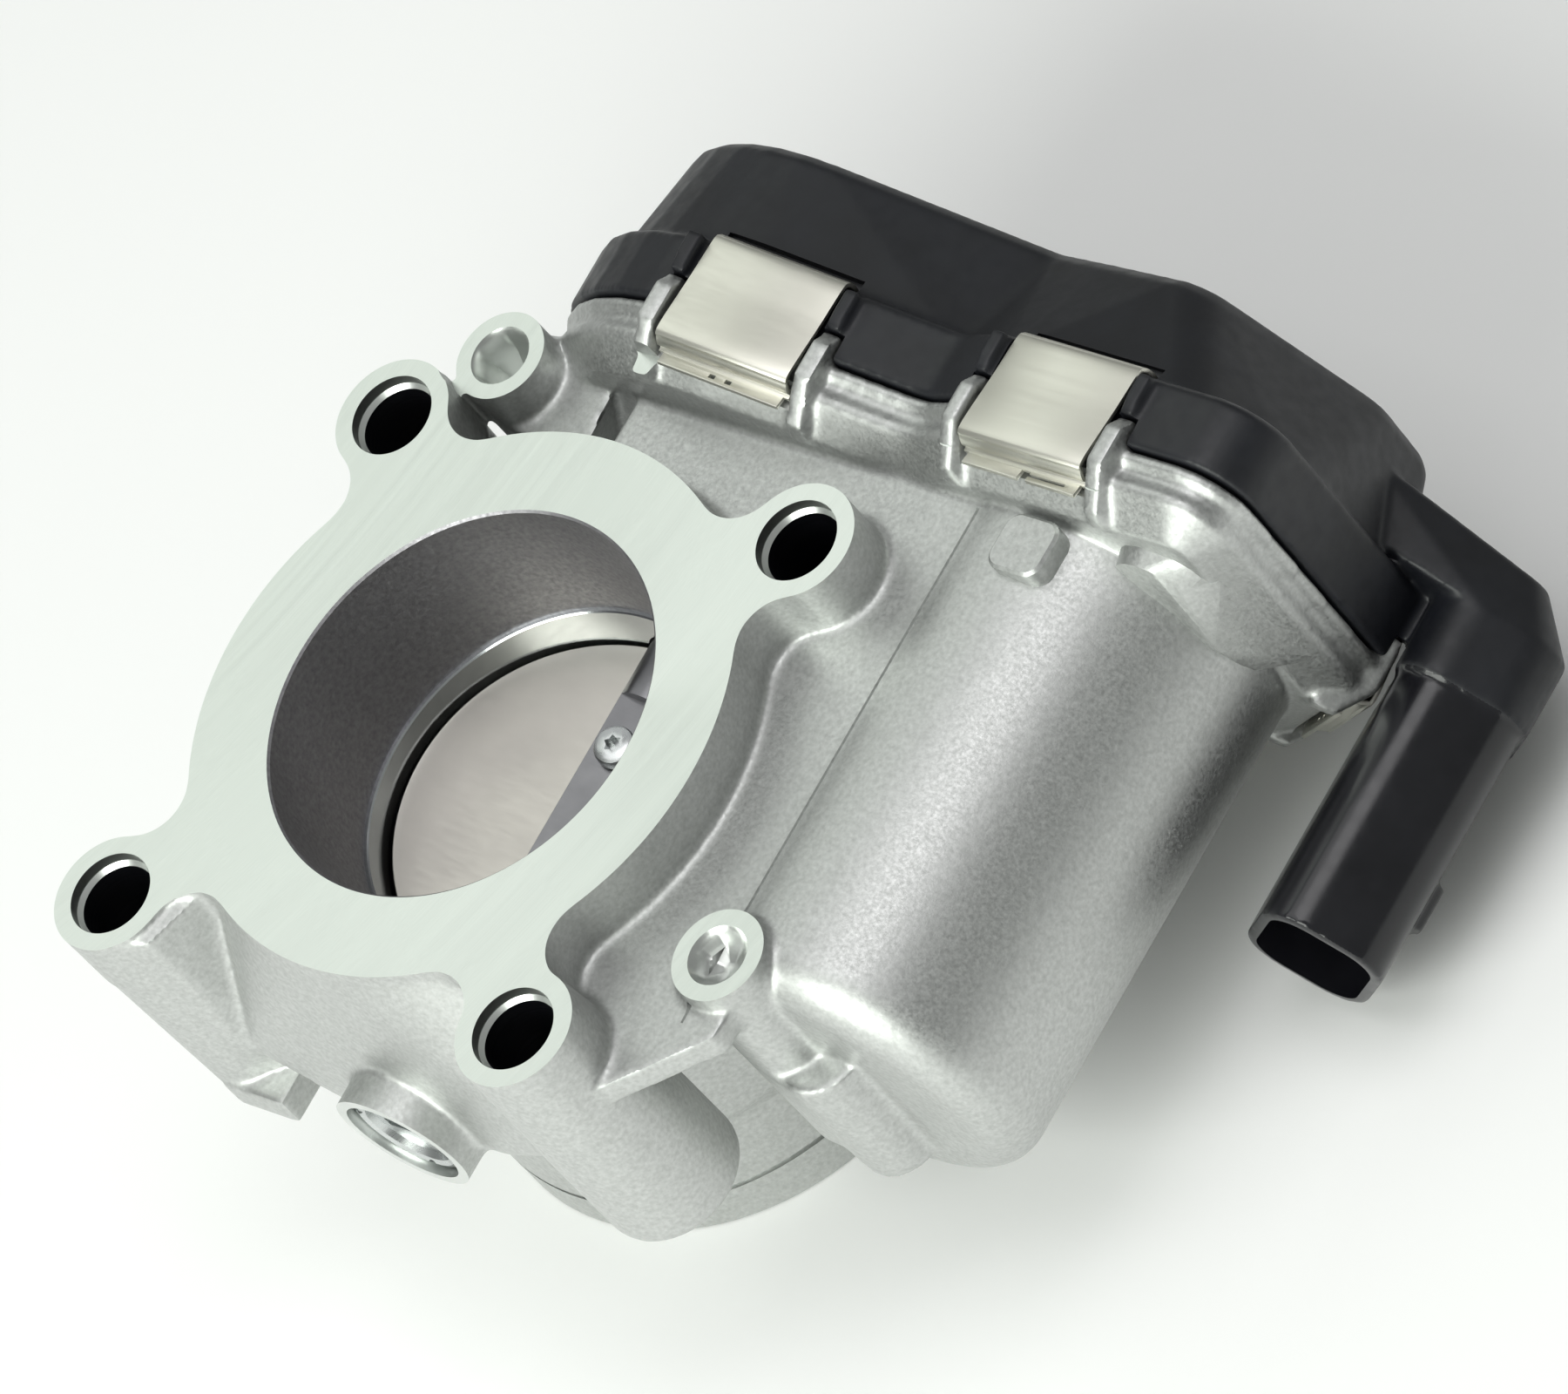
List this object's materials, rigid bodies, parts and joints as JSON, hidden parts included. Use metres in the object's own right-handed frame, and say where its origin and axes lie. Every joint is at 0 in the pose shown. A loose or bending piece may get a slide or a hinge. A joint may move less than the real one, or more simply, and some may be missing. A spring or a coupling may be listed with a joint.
{
  "type": "throttle body",
  "caption": "Electronic throttle body: cast housing with four-lug flange, butterfly plate, motor, gear train and a clipped gear cover with a side connector.",
  "frame": {"origin": "centre of the footprint, at the end of the round rear spigot; the bore axis stands at x = -30.4 mm, y = -18.2 mm and the machined flange face is the plane z = 70 mm", "axes": "+Z along the bore axis, out of the machined flange face; +X from the bore towards the motor; +Y along the throttle shaft towards the gear cover"},
  "size_m": [0.145, 0.1275, 0.0756],
  "materials": {
    "cast_aluminium": "die-cast, fine grain, machined on the flange face and bore land",
    "steel": "turned and ground steel",
    "stainless_clip": "satin spring strip",
    "plate_metal": "satin, slightly warm sheet metal",
    "brass_pinion": "machined",
    "black_plastic": "moulded glass-filled plastic, satin",
    "gear_plastic": "natural moulded gear plastic",
    "seal_rubber": "matt elastomer",
    "copper": "bright copper alloy",
    "ferrite": "dark sintered ferrite or carbon",
    "circuit_board": "green solder resist"
  },
  "bodies": {
    "root": {"housing": "cast_aluminium", "gear_cover": "black_plastic", "cover_seal": "seal_rubber", "cover_clip_1": "stainless_clip", "cover_clip_2": "stainless_clip", "cover_clip_3": "stainless_clip", "cover_clip_4": "stainless_clip", "cover_clip_5": "stainless_clip", "connector_pin_1": "copper", "connector_pin_2": "copper", "connector_pin_3": "copper", "connector_pin_4": "copper", "connector_pin_5": "copper", "connector_pin_6": "copper", "shaft_end_cap": "steel", "bearing_gear_side": "steel", "bearing_end_side": "steel", "shaft_seal": "seal_rubber", "spring_bush": "gear_plastic", "return_spring": "steel", "stop_pin": "steel", "gear_pin": "steel", "sensor_board": "circuit_board", "motor_can": "steel", "motor_magnet_1": "ferrite", "motor_magnet_2": "ferrite", "motor_end_plate": "black_plastic", "motor_brush_1": "ferrite", "motor_brush_2": "ferrite", "motor_terminal_1": "copper", "motor_terminal_2": "copper", "motor_screw_1": "steel", "motor_screw_2": "steel", "motor_wave_spring": "steel"},
    "throttle": {"throttle_shaft": "steel", "throttle_plate": "plate_metal", "plate_screw_1": "steel", "plate_screw_2": "steel", "sector_gear": "gear_plastic", "sensor_rotor": "ferrite"},
    "idler": {"intermediate_gear": "gear_plastic"},
    "motor_rotor": {"motor_shaft": "steel", "armature_core": "steel", "armature_winding_1": "copper", "armature_winding_2": "copper", "commutator": "copper", "motor_pinion": "brass_pinion"}
  },
  "joints": [
    {"name": "throttle_turn", "type": "hinge", "parent": "root", "child": "throttle", "pos_m": [-0.0304, -0.0182, 0.0388], "axis": [0, 1, 0], "range_deg": [-12, 76]},
    {"name": "idler_turn", "type": "hinge", "parent": "root", "child": "idler", "pos_m": [0.0019, -0.0182, 0.0388], "axis": [0, 1, 0], "range_deg": [-275, 45]},
    {"name": "motor_turn", "type": "hinge", "parent": "root", "child": "motor_rotor", "pos_m": [0.0261, -0.0182, 0.0388], "axis": [0, 1, 0], "range_deg": [-190, 1180]}
  ],
  "couplings": [
    {"joint": "idler_turn", "follows": "throttle_turn", "ratio": -3.5714},
    {"joint": "motor_turn", "follows": "throttle_turn", "ratio": 15.476}
  ]
}
